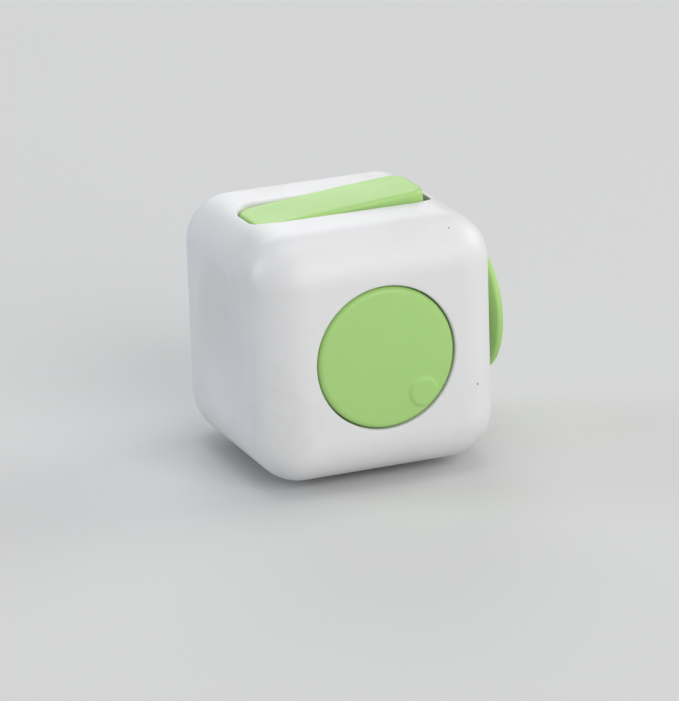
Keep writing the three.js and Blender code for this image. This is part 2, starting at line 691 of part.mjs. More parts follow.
const bottom = faceGroup(faces.bottom);
const buttonNames = ['centre', 'front_left', 'front_right', 'back_left', 'back_right'];
const silent = ['front_left', 'back_right'];
buttonNames.forEach((name, i) => {
  const [x, y] = buttonSpots[i];
  addPiece(bottom, `button_${name}`, buttonBody(x, y), green);
  if (silent.includes(name)) addPiece(bottom, `silent_pad_${name}`, siliconePad(x, y), silicone);
  else addPiece(bottom, `click_dome_${name}`,
    snapDome(click.domeR, click.domeLow, click.domeTop, click.domeWall, x, y), steel);
});
const boardWidth = 2 * click.boardHalf;
const boardLow = click.boardTop - click.boardH;
addPiece(bottom, 'click_board', cut(
  plate(roundedRect(boardWidth, boardWidth, PLATE_R), boardLow, click.boardTop, 0, 2),
  ...boardPosts.map(([x, y]) => rod(screw.holeR, boardLow - PAST, click.boardTop + PAST, x, y, 12)),
), grey);
boardPosts.forEach(([x, y], i) => {
  addScrew(bottom, `click_board_screw_${i + 1}`, x, y, boardLow - REST, click.boreEnd - screw.tipGap);
});

const fidgetCube = new THREE.Group();
fidgetCube.name = 'fidget_cube';
fidgetCube.add(cube);

export default fidgetCube;
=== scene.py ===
import json
import math

import bmesh
import bpy
import numpy as np
from mathutils import Matrix, Vector


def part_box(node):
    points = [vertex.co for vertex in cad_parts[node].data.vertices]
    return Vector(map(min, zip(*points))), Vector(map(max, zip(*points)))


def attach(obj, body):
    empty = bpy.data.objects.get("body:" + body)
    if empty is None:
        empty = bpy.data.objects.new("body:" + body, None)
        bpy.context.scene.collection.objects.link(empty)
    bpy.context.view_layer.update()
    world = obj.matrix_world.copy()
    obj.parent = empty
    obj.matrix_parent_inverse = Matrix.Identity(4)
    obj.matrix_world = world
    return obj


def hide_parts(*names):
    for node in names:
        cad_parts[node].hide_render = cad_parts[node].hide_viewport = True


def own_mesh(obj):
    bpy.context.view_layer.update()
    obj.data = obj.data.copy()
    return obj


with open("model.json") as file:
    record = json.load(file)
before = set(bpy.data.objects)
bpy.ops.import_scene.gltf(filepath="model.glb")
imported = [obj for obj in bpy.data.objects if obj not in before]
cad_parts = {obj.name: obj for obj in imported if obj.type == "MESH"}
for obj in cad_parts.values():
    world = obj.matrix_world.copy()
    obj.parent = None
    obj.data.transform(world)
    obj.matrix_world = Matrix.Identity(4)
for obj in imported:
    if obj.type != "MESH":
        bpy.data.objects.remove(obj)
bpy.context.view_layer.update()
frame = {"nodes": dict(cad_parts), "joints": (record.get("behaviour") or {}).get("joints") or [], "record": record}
mm = 0.001
print("frame:", len(frame["nodes"]), "nodes")

# the shell's box gives the cube: its centre, its half width, and where the back cover starts
shellLow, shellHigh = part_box("body_shell")
halfCube = (shellHigh.x - shellLow.x) / 2
cubeCentre = np.array([0, 0, (shellLow.z + shellHigh.z) / 2])
joints = {joint["name"]: joint for joint in frame["joints"]}

# each face has its own frame: two directions in the face, then the way out of it
faceAxes = {
    "top": ((1, 0, 0), (0, 1, 0), (0, 0, 1)),
    "bottom": ((1, 0, 0), (0, -1, 0), (0, 0, -1)),
    "front": ((1, 0, 0), (0, 0, 1), (0, -1, 0)),
    "back": ((-1, 0, 0), (0, 0, 1), (0, 1, 0)),
    "right": ((0, 1, 0), (0, 0, 1), (1, 0, 0)),
    "left": ((0, -1, 0), (0, 0, 1), (-1, 0, 0)),
}


def fromFace(face, points):
    # a point in a face's frame, with z measured from the face plane, moved to the object's frame
    lifted = points + np.array([0, 0, halfCube])
    return lifted @ np.array(faceAxes[face], dtype=float) + cubeCentre


def toFace(face, point):
    # the same, the other way round
    local = (np.array(point) - cubeCentre) @ np.array(faceAxes[face], dtype=float).T
    return local - np.array([0, 0, halfCube])


def gridQuads(rows, columns, first=0, around=True, closed=False):
    # quads between neighbouring rows; the columns join up when the grid goes around
    row = np.arange(rows if closed else rows - 1)
    column = np.arange(columns if around else columns - 1)
    i, j = np.meshgrid(row, column, indexing="ij")
    ni, nj = (i + 1) % rows, (j + 1) % columns
    quads = np.stack([i * columns + j, i * columns + nj, ni * columns + nj, ni * columns + j], -1)
    return quads.reshape(-1, 4) + first


def stackGrids(grids):
    # several point grids of (rows, columns, 3) as one list of points and one of quads
    points, quads, first = [], [], 0
    for grid, closed in grids:
        points.append(grid.reshape(-1, 3))
        quads.append(gridQuads(grid.shape[0], grid.shape[1], first, True, closed))
        first += grid.shape[0] * grid.shape[1]
    return np.concatenate(points), np.concatenate(quads)


def newMesh(name, points, quads, join=1e-7):
    # a mesh with its doubled points joined, which closes the poles, and its faces turned outwards
    mesh = bpy.data.meshes.new(name)
    mesh.from_pydata(points.tolist(), [], quads.tolist())
    work = bmesh.new()
    work.from_mesh(mesh)
    bmesh.ops.remove_doubles(work, verts=work.verts, dist=join)
    bmesh.ops.dissolve_degenerate(work, edges=work.edges, dist=join)
    bmesh.ops.recalc_face_normals(work, faces=work.faces)
    work.to_mesh(mesh)
    work.free()
    return mesh


def newPiece(mesh, body, nodes, slot, sharp=32):
    # an object for a finished mesh, smooth except over edges sharper than an angle in degrees
    mesh.shade_smooth()
    mesh.set_sharp_from_angle(angle=math.radians(sharp))
    piece = bpy.data.objects.new(mesh.name, mesh)
    bpy.context.scene.collection.objects.link(piece)
    mesh.materials.append(finishes[slot])
    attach(piece, body)
    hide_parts(*nodes)
    return piece


def pieceName(node):
    # a node's name with its words run together, as in flipRocker
    first, *rest = node.split("_")
    return first + "".join(word.capitalize() for word in rest)


def arc(centreR, centreZ, radius, start, end, steps=6):
    # points of a circle in the (r, z) plane, from one angle to the other, in degrees
    turn = np.radians(np.linspace(start, end, steps + 1))
    return np.stack([centreR + radius * np.cos(turn), centreZ + radius * np.sin(turn)], -1)


def line(*points):
    # corner points of a profile in the (r, z) plane
    return np.array(points, dtype=float)


def turnedGrid(profile, columns, x=0.0, y=0.0):
    # a profile of (r, z) turned about z: each point becomes a ring of radius r at height z
    turn = np.linspace(0, 2 * np.pi, columns, endpoint=False)
    r, z = profile[:, :1], profile[:, 1:]
    ring = np.ones_like(turn)
    return np.stack([x + r * np.cos(turn), y + r * np.sin(turn), z * ring], -1)


def smoothStep(value, low, high):
    # 0 below low, 1 above high, and 3t^2 - 2t^3 between them
    t = np.clip((value - low) / (high - low), 0, 1)
    return t * t * (3 - 2 * t)


def smoothMin(a, b, soft):
    # the smaller of two heights, rounded where they cross
    t = np.clip(0.5 + 0.5 * (b - a) / soft, 0, 1)
    return b * (1 - t) + a * t - soft * t * (1 - t)


def squareLoop(alongX, alongY):
    # points round the edge of the square from -1 to 1, anticlockwise, evenly along each side
    x = np.linspace(-1, 1, alongX + 1)
    y = np.linspace(-1, 1, alongY + 1)
    low = np.stack([x[:-1], -np.ones(alongX)], -1)
    right = np.stack([np.ones(alongY), y[:-1]], -1)
    return np.concatenate([low, right, -low, -right])


def roundedLoop(square, a, b, r):
    # the square's edge stretched to half sizes a and b, its corners rounded to radius r:
    # each point is r away from the nearest point of the smaller rectangle inside
    points = square * np.array([a, b])
    inner = np.array([max(a - r, 0), max(b - r, 0)])
    core = np.clip(points, -inner, inner)
    out = points - core
    length = np.maximum(np.linalg.norm(out, axis=-1, keepdims=True), 1e-12)
    return core + r * out / length


def addNode(tree, kind, **values):
    # a shader node with its settings, or its inputs' values
    node = tree.nodes.new(kind)
    for name, value in values.items():
        if hasattr(node, name):
            setattr(node, name, value)
        else:
            node.inputs[name.replace("_", " ")].default_value = value
    return node


def mathNode(tree, operation, first, second):
    # one sum on sockets or numbers
    node = tree.nodes.new("ShaderNodeMath")
    node.operation = operation
    for socket, value in zip(node.inputs, (first, second)):
        if isinstance(value, bpy.types.NodeSocket):
            tree.links.new(value, socket)
        else:
            socket.default_value = value
    return node.outputs[0]


def mixColour(tree, amount, first, second):
    # from the first colour to the second; each of the three may be a socket
    node = tree.nodes.new("ShaderNodeMix")
    node.data_type = "RGBA"
    sockets = (node.inputs[0], node.inputs[6], node.inputs[7]) # factor, A and B of a colour mix
    for socket, value in zip(sockets, (amount, first, second)):
        if isinstance(value, bpy.types.NodeSocket):
            tree.links.new(value, socket)
        elif isinstance(value, tuple):
            socket.default_value = (*value, 1)
        else:
            socket.default_value = value
    return node.outputs[2]


def noiseAt(tree, scale, detail=2.0):
    # noise that is fixed to the piece
    place = tree.nodes.new("ShaderNodeTexCoord")
    noise = addNode(tree, "ShaderNodeTexNoise", Scale=scale, Detail=detail, Roughness=0.5)
    tree.links.new(place.outputs["Object"], noise.inputs["Vector"])
    return noise.outputs["Fac"]


def newGroup(name, inputs, outputs):
    # a shader node group with number inputs; returns it, what it is given, and what it puts out
    group = bpy.data.node_groups.new(name, "ShaderNodeTree")
    for label, value in inputs.items():
        socket = group.interface.new_socket(label, in_out="INPUT", socket_type="NodeSocketFloat")
        socket.default_value = value
    for label, kind in outputs.items():
        group.interface.new_socket(label, in_out="OUTPUT", socket_type=kind)
    given = group.nodes.new("NodeGroupInput")
    out = group.nodes.new("NodeGroupOutput")
    return group, given.outputs, out.inputs


def placeGroup(tree, group, **values):
    node = tree.nodes.new("ShaderNodeGroup")
    node.node_tree = group
    for name, value in values.items():
        node.inputs[name].default_value = value
    return node.outputs


grainLook = {
    "wave": (140, 2), # scale and detail of the slow waviness
    "grain": (2600, 3),
    "waveShare": 0.6,
    "height": 0.04 * mm,
    "range": (0.35, 0.65), # heights with the lowest and the highest roughness
}


def makeMouldGrain():
    # the fine unevenness of moulded plastic: a slow waviness with a fine grain on top of it
    share = grainLook["waveShare"]
    group, given, out = newGroup(
        "mouldGrain",
        {"Grain": 0.1, "Low": 0.35, "High": 0.5},
        {"Normal": "NodeSocketVector", "Roughness": "NodeSocketFloat"},
    )
    wave = mathNode(group, "MULTIPLY", noiseAt(group, *grainLook["wave"]), share)
    grain = mathNode(group, "MULTIPLY", noiseAt(group, *grainLook["grain"]), 1 - share)
    height = mathNode(group, "ADD", wave, grain)
    bump = addNode(group, "ShaderNodeBump", Distance=grainLook["height"])
    group.links.new(given["Grain"], bump.inputs["Strength"])
    group.links.new(height, bump.inputs["Height"])
    group.links.new(bump.outputs["Normal"], out["Normal"])
    spread = group.nodes.new("ShaderNodeMapRange")
    group.links.new(height, spread.inputs["Value"])
    spread.inputs["From Min"].default_value = grainLook["range"][0]
    spread.inputs["From Max"].default_value = grainLook["range"][1]
    group.links.new(given["Low"], spread.inputs["To Min"])
    group.links.new(given["High"], spread.inputs["To Max"])
    group.links.new(spread.outputs["Result"], out["Roughness"])
    return group


def makeDustSpecks():
    # a few tiny specks: dots round the cell points of a coarse pattern, most of them dropped
    group, given, out = newGroup(
        "dustSpecks",
        {"Scale": 150, "Size": 0.05, "Share": 0.3},
        {"Mask": "NodeSocketFloat"},
    )
    place = group.nodes.new("ShaderNodeTexCoord")
    cells = group.nodes.new("ShaderNodeTexVoronoi")
    group.links.new(place.outputs["Object"], cells.inputs["Vector"])
    group.links.new(given["Scale"], cells.inputs["Scale"])
    near = mathNode(group, "LESS_THAN", cells.outputs["Distance"], given["Size"])
    split = group.nodes.new("ShaderNodeSeparateColor")
    group.links.new(cells.outputs["Color"], split.inputs["Color"])
    kept = mathNode(group, "LESS_THAN", split.outputs["Red"], given["Share"])
    group.links.new(mathNode(group, "MULTIPLY", near, kept), out["Mask"])
    return group


handlingLook = {
    "detail": 3.0,
    "rough": 0.55,
    "range": (0.56, 0.75), # noise values where a patch starts and where it is full
    "fine": (900, 2), # scale and detail
}


def makeHandling():
    # faint smudges from handling: broad soft patches broken up by a finer noise
    look = handlingLook
    group, given, out = newGroup("handling", {"Amount": 0.3, "Scale": 60}, {"Mask": "NodeSocketFloat"})
    place = group.nodes.new("ShaderNodeTexCoord")
    broad = addNode(group, "ShaderNodeTexNoise", Detail=look["detail"], Roughness=look["rough"])
    group.links.new(place.outputs["Object"], broad.inputs["Vector"])
    group.links.new(given["Scale"], broad.inputs["Scale"])
    patch = group.nodes.new("ShaderNodeMapRange")
    group.links.new(broad.outputs["Fac"], patch.inputs["Value"])
    patch.inputs["From Min"].default_value = look["range"][0]
    patch.inputs["From Max"].default_value = look["range"][1]
    broken = mathNode(group, "MULTIPLY", patch.outputs["Result"], noiseAt(group, *look["fine"]))
    group.links.new(mathNode(group, "MULTIPLY", broken, given["Amount"]), out["Mask"])
    return group


mouldGrain = makeMouldGrain()
dustSpecks = makeDustSpecks()
handling = makeHandling()


def newFinish(name):
    finish = bpy.data.materials.new(name)
    finish.use_nodes = True
    tree = finish.node_tree
    return finish, tree, tree.nodes["Principled BSDF"]


def makeMoulded(name, look):
    # two tones in slow patches, smudges and specks over them where the look has them, and the
    # grain of the mould in the roughness and the normal
    finish, tree, shader = newFinish(name)
    colour = mixColour(tree, noiseAt(tree, *look["patches"]), look["colour"], look["shade"])
    if "smudges" in look:
        smudges = placeGroup(tree, handling, **look["smudges"])["Mask"]
        colour = mixColour(tree, smudges, colour, look["smudge"])
    if "specks" in look:
        specks = placeGroup(tree, dustSpecks, **look["specks"])["Mask"]
        colour = mixColour(tree, specks, colour, look["speck"])
    tree.links.new(colour, shader.inputs["Base Color"])
    grain = placeGroup(tree, mouldGrain, **look["grain"])
    tree.links.new(grain["Roughness"], shader.inputs["Roughness"])
    tree.links.new(grain["Normal"], shader.inputs["Normal"])
    shader.inputs["IOR"].default_value = look["ior"]
    return finish


whitePlastic = {
    "colour": (0.735, 0.735, 0.742),
    "shade": (0.69, 0.691, 0.704),
    "patches": (45, 2), # scale and detail of the change from colour to shade
    "smudge": (0.50, 0.485, 0.40),
    "smudges": {"Amount": 0.4, "Scale": 95},
    "speck": (0.15, 0.15, 0.16),
    "specks": {"Scale": 400, "Size": 0.055, "Share": 0.12},
    "grain": {"Grain": 0.12, "Low": 0.36, "High": 0.48},
    "ior": 1.46,
}
greenPlastic = {
    "colour": (0.38, 0.625, 0.195),
    "shade": (0.355, 0.60, 0.185),
    "patches": (90, 3),
    "speck": (0.12, 0.20, 0.08),
    "specks": {"Scale": 430, "Size": 0.045, "Share": 0.08},
    "grain": {"Grain": 0.1, "Low": 0.38, "High": 0.5},
    "ior": 1.46,
}
innerPlastic = {
    "colour": (0.22, 0.225, 0.23),
    "shade": (0.27, 0.275, 0.28),
    "patches": (260, 3),
    "grain": {"Grain": 0.25, "Low": 0.5, "High": 0.68},
    "ior": 1.5,
}
softSilicone = {
    "colour": (0.62, 0.60, 0.53),
    "shade": (0.7, 0.68, 0.61),
    "patches": (300, 2),
    "speck": (0.8, 0.8, 0.78),
    "specks": {"Scale": 900, "Size": 0.12, "Share": 0.4},
    "grain": {"Grain": 0.2, "Low": 0.62, "High": 0.8},
    "ior": 1.5,
}
brightSteel = {
    "colour": (0.66, 0.67, 0.69),
    "shade": (0.74, 0.75, 0.76),
    "scratches": (300, 4000, 4000), # scale along and across them
    "detail": 2.0,
    "roughness": 0.14,
    "scratched": 0.16, # roughness that the scratches add
    "smudges": {"Amount": 0.35, "Scale": 220},
}


def makeBrightSteel():
    # polished steel: hairline scratches from a stretched noise, and a faint dulling where it is handled
    finish, tree, shader = newFinish("brightSteel")
    look = brightSteel
    place = tree.nodes.new("ShaderNodeTexCoord")
    stretch = addNode(tree, "ShaderNodeMapping", Scale=look["scratches"])
    lines = addNode(tree, "ShaderNodeTexNoise", Scale=1.0, Detail=look["detail"])
    tree.links.new(place.outputs["Object"], stretch.inputs["Vector"])
    tree.links.new(stretch.outputs["Vector"], lines.inputs["Vector"])
    tone = mixColour(tree, lines.outputs["Fac"], look["colour"], look["shade"])
    tree.links.new(tone, shader.inputs["Base Color"])
    dull = placeGroup(tree, handling, **look["smudges"])["Mask"]
    scratched = mathNode(tree, "MULTIPLY", lines.outputs["Fac"], look["scratched"])
    rough = mathNode(tree, "ADD", scratched, look["roughness"])
    tree.links.new(mathNode(tree, "ADD", rough, dull), shader.inputs["Roughness"])
    shader.inputs["Metallic"].default_value = 1
    return finish


finishes = {
    "white_shell": makeMoulded("whitePlastic", whitePlastic),
    "green_plastic": makeMoulded("greenPlastic", greenPlastic),
    "bright_steel": makeBrightSteel(),
    "inner_plastic": makeMoulded("innerPlastic", innerPlastic),
    "silicone": makeMoulded("softSilicone", softSilicone),
}
print("finishes:", len(finishes))

# the white shell: a rounded cube's six faces with their holes, then split at the back cover

shell = {
    "edge": 6.3 * mm, # outer fillet
    "wall": 1.8 * mm,
    "seam": 0.2 * mm,
    "step": 6.2 / 12 * mm, # spacing of the grid on the flat faces
    "filletSteps": 12,
    "lipSteps": 5, # in a hole's rounded lip
    "patchSteps": 18, # from a hole's patch of grid to its lip
    "wallSteps": 5, # from the lip back to the patch, inside
    "sharp": 40,
    "lipReach": 1.6 * mm, # the cover's lip goes this far into the body
    "lipRoot": 0.6 * mm,
    "lipWall": 1.0 * mm,
    "lipGap": 0.06 * mm,
}
# a and b are half sizes, and so is patch: the part of the face's grid that is given up to the opening
gridStep = shell["step"]
openings = {
    "dial": {"radius": 9.56 * mm, "lip": 0.3 * mm, "patch": 11.2 * mm},
    "rocker": {
        "a": 12.6 * mm,
        "b": 5.0 * mm,
        "corner": 3.4 * mm,
        "lip": 0.3 * mm,
        "patch": (15.0 * mm, 12 * gridStep),
    },
    "pad": {"radius": 5.0 * mm, "lip": 0.2 * mm, "patch": 10.6 * mm},
    "button": {"radius": 2.75 * mm, "lip": 0.22 * mm, "patch": 6 * gridStep},
    "gear": {
        "a": 2.1 * mm,
        "b": 4.7 * mm,
        "corner": 0.5 * mm,
        "lip": 0.25 * mm,
        "patch": (5 * gridStep, 10 * gridStep),
    },
    "ball": {"gap": 0.25 * mm, "lip": 0.25 * mm, "patch": 8 * gridStep},
}
thumbDish = {
    "width": 16.6 * mm,
    "height": 20.5 * mm,
    "depth": 2.2 * mm,
    "soft": 0.35 * mm, # how far its edge is rounded
}
padRecess = {"radius": 9.9 * mm, "floor": 8.7 * mm, "depth": 0.8 * mm}
flatHalf = halfCube - shell["edge"]


def latticeLines():
    # grid lines across a face: even on the flat part, then even in angle up to the 45 degrees
    # where the fillet meets the next face's
    flat = np.arange(0, math.floor(flatHalf / shell["step"]) + 1) * shell["step"]
    turn = np.radians(np.linspace(0, 45, shell["filletSteps"] + 1))
    half = np.concatenate([flat, flatHalf + shell["edge"] * np.tan(turn)])
    return np.concatenate([-half[:0:-1], half])


def onRoundedCube(u, v, depth):
    # a point of the flat cube face, pulled in to the rounded cube that lies depth under the surface:
    # the nearest point of the inner cube, plus the fillet radius along the direction between them
    flat = np.stack([u, v, np.full_like(u, halfCube)], -1)
    core = np.clip(flat, -flatHalf, flatHalf)
    out = flat - core
    out = out / np.linalg.norm(out, axis=-1, keepdims=True)
    return core + (shell["edge"] - depth) * out - np.array([0, 0, halfCube])


def heightAt(xy, depth):
    # height of that surface over a point of the face: the flat part, or the circle of the fillet
    over = np.maximum(np.abs(xy) - flatHalf, 0)
    rise = np.sqrt(np.maximum((shell["edge"] - depth) ** 2 - (over**2).sum(-1), 0))
    return flatHalf + rise - halfCube


def sunkBy(face, xy, z):
    # how far the moulded hollows lie under the plain rounded cube: the dish's depth falls with the
    # square of the distance from its middle, and the pad's recess ends in a smooth step
    if face == "left":
        half = np.array([thumbDish["width"], thumbDish["height"]]) / 2
        bowl = ((xy / half) ** 2).sum(-1)
        return z - smoothMin(z, -thumbDish["depth"] * (1 - bowl), thumbDish["soft"])
    if face == "right":
        away = np.linalg.norm(xy, axis=-1)
        return padRecess["depth"] * (1 - smoothStep(away, padRecess["floor"], padRecess["radius"]))
    return np.zeros_like(z)


def nodeSpot(face, node):
    # where a node's middle lies in a face
    low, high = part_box(node)
    return toFace(face, (low + high) / 2)[:2]


ballLow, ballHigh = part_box("roller_ball")
ballRadius = (ballHigh.x - ballLow.x) / 2
ballAt = toFace("back", (ballLow + ballHigh) / 2)
gearNodes = ("gear_left", "gear_middle", "gear_right")
buttonNodes = tuple(name for name in frame["nodes"] if name.startswith("button_"))


def slotHole(face, centre, opening):
    # face, centre, half sizes, corner radius, lip radius, and half size of the patch
    return (face, centre, *(opening[key] for key in ("a", "b", "corner", "lip", "patch")))


def roundHole(face, centre, radius, opening):
    # the same for a circle, whose corner radius is its whole radius
    reach = opening["patch"]
    return (face, centre, radius, radius, radius, opening["lip"], (reach, reach))


def holeList():
    # every opening of the shell; the ball's is where the ball, with its gap, meets the back face
    middle = (0, 0)
    dialHole, padHole, small, seat = (openings[name] for name in ("dial", "pad", "button", "ball"))
    seatRadius = math.sqrt((ballRadius + seat["gap"]) ** 2 - ballAt[2] ** 2)
    holes = [
        roundHole("front", middle, dialHole["radius"], dialHole),
        slotHole("top", middle, openings["rocker"]),
        roundHole("right", middle, padHole["radius"], padHole),
    ]
    for node in buttonNodes:
        holes.append(roundHole("bottom", nodeSpot("bottom", node), small["radius"], small))
    for node in gearNodes:
        holes.append(slotHole("back", nodeSpot("back", node), openings["gear"]))
    holes.append(roundHole("back", ballAt[:2], seatRadius, seat))
    return holes


def nearestLine(lines, value):
    # which grid line is nearest
    return int(np.abs(lines - value).argmin())


def holePatch(face, hole, lines, lattice, deep, window):
    # rows of points from the patch's edge to the hole's lip, over the lip, down the wall, and back
    # along the inside to the same edge; each row is one loop round the hole
    _, centre, a, b, r, lip, _ = hole
    i0, i1, j0, j1 = window
    edge = [(i, j0) for i in range(i0, i1)] + [(i1, j) for j in range(j0, j1)]
    edge += [(i, j1) for i in range(i1, i0, -1)] + [(i0, j) for j in range(j1, j0, -1)]
    index = np.array(edge)
    outerEdge = lattice[index[:, 0], index[:, 1]]
    innerEdge = deep[index[:, 0], index[:, 1]]
    middle = np.array([lines[i0] + lines[i1], lines[j0] + lines[j1]]) / 2
    reach = np.array([lines[i1] - lines[i0], lines[j1] - lines[j0]]) / 2
    square = (np.stack([lines[index[:, 0]], lines[index[:, 1]]], -1) - middle) / reach

    def loop(grow):
        return roundedLoop(square, a + grow, b + grow, r + grow) + np.array(centre)

    def atHeight(xy, z):
        return np.concatenate([xy, z[..., None]], -1)

    rows = [outerEdge]
    start = loop(lip)
    for share in np.linspace(0, 1, shell["patchSteps"] + 1)[1:]:
        xy = outerEdge[:, :2] * (1 - share) + start * share
        z = heightAt(xy, 0)
        rows.append(atHeight(xy, z - sunkBy(face, xy, z)))
    for turn in np.linspace(0, np.pi / 2, shell["lipSteps"] + 1)[1:]:
        xy = loop(lip - lip * math.sin(turn))
        z = heightAt(xy, 0)
        rows.append(atHeight(xy, z - sunkBy(face, xy, z) - lip + lip * math.cos(turn)))
    for share in np.linspace(0, 1, shell["wallSteps"] + 1):
        xy = loop(0) * (1 - share) + innerEdge[:, :2] * share
        rows.append(atHeight(xy, heightAt(xy, shell["wall"])) if share < 1 else innerEdge)
    return np.array(rows)


def shellFace(face, holes):
    # one face as a grid outside and a grid inside, with a patch round each hole
    lines = latticeLines()
    u, v = np.meshgrid(lines, lines, indexing="ij")
    lattice = onRoundedCube(u, v, 0)
    deep = onRoundedCube(u, v, shell["wall"])
    if face == "left": # the dish has a wall of even thickness behind it
        sunk = sunkBy(face, lattice[..., :2], lattice[..., 2])
        lattice[..., 2] -= sunk
        deep[..., 2] -= sunk
    count = len(lines)
    free = np.ones((count - 1, count - 1), bool)
    grids = []
    for hole in (hole for hole in holes if hole[0] == face):
        centre, reach = hole[1], hole[6]
        window = [nearestLine(lines, centre[k] + side * reach[k]) for k in (0, 1) for side in (-1, 1)]
        free[window[0]:window[1], window[2]:window[3]] = False
        grids.append((holePatch(face, hole, lines, lattice, deep, window), False))
    quads = gridQuads(count, count, 0, False)[free.reshape(-1)]
    allPoints = [lattice.reshape(-1, 3), deep.reshape(-1, 3)]
    allQuads = [quads, quads + count * count]
    if grids:
        more, patchQuads = stackGrids(grids)
        allPoints.append(more)
        allQuads.append(patchQuads + 2 * count * count)
    return fromFace(face, np.concatenate(allPoints)), np.concatenate(allQuads)


def wholeShell():
    # the six faces in one mesh, still open along their shared edges
    holes = holeList()
    points, quads, first = [], [], 0
    for face in faceAxes:
        facePoints, faceQuads = shellFace(face, holes)
        points.append(facePoints)
        quads.append(faceQuads + first)
        first += len(facePoints)
    mesh = bpy.data.meshes.new("wholeShell")
    mesh.from_pydata(np.concatenate(points).tolist(), [], np.concatenate(quads).tolist())
    return mesh


def splitShell(whole, planeY, side):
    # the part on one side of the plane, its cut edge closed by a strip between outside and inside
    work = bmesh.new()
    work.from_mesh(whole)
    bmesh.ops.remove_doubles(work, verts=work.verts, dist=1e-6)
    bmesh.ops.recalc_face_normals(work, faces=work.faces) # the strip needs both rims to run the same way
    bmesh.ops.bisect_plane(
        work,
        geom=work.verts[:] + work.edges[:] + work.faces[:],
        plane_co=(0, planeY, 0),
        plane_no=(0, side, 0),
        clear_outer=True,
    )
    loose = [vert for vert in work.verts if not vert.link_faces]
    bmesh.ops.delete(work, geom=loose, context="VERTS")
    rim = [edge for edge in work.edges if edge.is_boundary]
    bmesh.ops.bridge_loops(work, edges=rim)
    return work


def addInsideLip(work, planeY):
    # a rounded square ring inside the cover's edge, rooted in its wall and reaching into the body;
    # its half width is that of the body's inner surface where the two parts meet
    outside = flatHalf + math.sqrt((shell["edge"] - shell["wall"]) ** 2 - (planeY - flatHalf) ** 2)
    outside -= shell["lipGap"]
    inside = outside - shell["lipWall"]
    ends = (planeY - shell["lipReach"], planeY + shell["lipRoot"])
    square = squareLoop(24, 24)
    rows = []
    for half, y in ((outside, ends[0]), (outside, ends[1]), (inside, ends[1]), (inside, ends[0])):
        loop = roundedLoop(square, half, half, half - flatHalf) + cubeCentre[[0, 2]]
        rows.append(np.insert(loop, 1, y, axis=1))
    points, quads = stackGrids([(np.array(rows), True)])
    corners = [work.verts.new(point) for point in points.tolist()]
    for quad in quads.tolist():
        work.faces.new([corners[index] for index in quad])


def finishShell(work, name, node):
    # the whole part's faces turned outwards, and its count of open edges printed, which is to be 0
    bmesh.ops.recalc_face_normals(work, faces=work.faces)
    openEdges = sum(not edge.is_manifold for edge in work.edges)
    mesh = bpy.data.meshes.new(name)
    work.to_mesh(mesh)
    work.free()
    print(name, len(mesh.polygons), "faces, open edges", openEdges)
    newPiece(mesh, "housing", [node], "white_shell", shell["sharp"])


shellWhole = wholeShell()
coverY = shellHigh.y + shell["seam"]
finishShell(splitShell(shellWhole, shellHigh.y, 1), "shellBody", "body_shell")
coverWork = splitShell(shellWhole, coverY, -1)
addInsideLip(coverWork, coverY)
finishShell(coverWork, "shellCover", "back_cover")
bpy.data.meshes.remove(shellWhole)

# spin dial

dialLow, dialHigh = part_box("spin_dial")
dial = {
    "radius": (dialHigh.x - dialLow.x) / 2,
    "dome": 0.4 * mm, # the middle stands this far out of the face
    "rim": 0.1 * mm, # the edge's highest circle
    "edge": 0.85 * mm,
    "thick": 2.1 * mm,
    "dot": (4.85 * mm, -5.15 * mm),
    "dotRadius": 1.95 * mm,
    "dotHeight": 0.34 * mm,
    "dotSlope": (0.3 * mm, 0.2 * mm), # the slope's width inside and outside that radius
    "shaft": 1.6 * mm,
    "shaftEnd": -5.0 * mm,
    "bore": 0.75 * mm, # radius of the screw's hole
    "boreDepth": 2 * mm,
    "rings": 62,
    "columns": 240,
}


def makeDial():
    # rings from the middle outwards: the dome falls with the square of the radius, then a quarter
    # round, the side, the underside and the shaft; the dot is added to the rings' heights
    flatEdge = dial["radius"] - dial["edge"]
    boreTop = dial["shaftEnd"] + dial["boreDepth"]
    r = np.linspace(0, flatEdge, dial["rings"])
    top = np.stack([r, dial["rim"] + (dial["dome"] - dial["rim"]) * (1 - (r / flatEdge) ** 2)], -1)
    edge = arc(flatEdge, dial["rim"] - dial["edge"], dial["edge"], 90, 0, 12)[1:]
    below = line(
        (dial["radius"], -dial["thick"]),
        (dial["shaft"], -dial["thick"]),
        (dial["shaft"], dial["shaftEnd"]),
        (dial["bore"], dial["shaftEnd"]),
        (dial["bore"], boreTop),
        (0, boreTop),
    )
    grid = turnedGrid(np.concatenate([top, edge, below]), dial["columns"])
    near = np.linalg.norm(grid[: len(r), :, :2] - np.array(dial["dot"]), axis=-1)
    within, beyond = dial["dotSlope"]
    raised = 1 - smoothStep(near, dial["dotRadius"] - within, dial["dotRadius"] + beyond)
    grid[: len(r), :, 2] += dial["dotHeight"] * raised
    points, quads = stackGrids([(grid, False)])
    return newMesh("spinDial", fromFace("front", points), quads)


newPiece(makeDial(), "dial", ["spin_dial"], "green_plastic")

# flip rocker

rocker = {
    "a": 11.8 * mm,
    "b": 4.65 * mm,
    "corner": 2.3 * mm,
    "edge": 0.6 * mm,
    "top": 6.5 * mm, # above the pivot
    "thick": 2.4 * mm,
    "crown": 0.12 * mm,
    "tilt": 4.8, # degrees, at rest
    "hub": (2.6 * mm, 4.5 * mm, 0.4 * mm), # half sizes and corner radius
    "hubEnd": -2.4 * mm,
    "shoulder": 0.3 * mm, # chamfer round the underside
    "sleeve": (1.25 * mm, 2.1 * mm), # the plunger's sleeve: its radii, then its ends
    "sleeveEnds": (-4.4 * mm, -1.5 * mm),
}


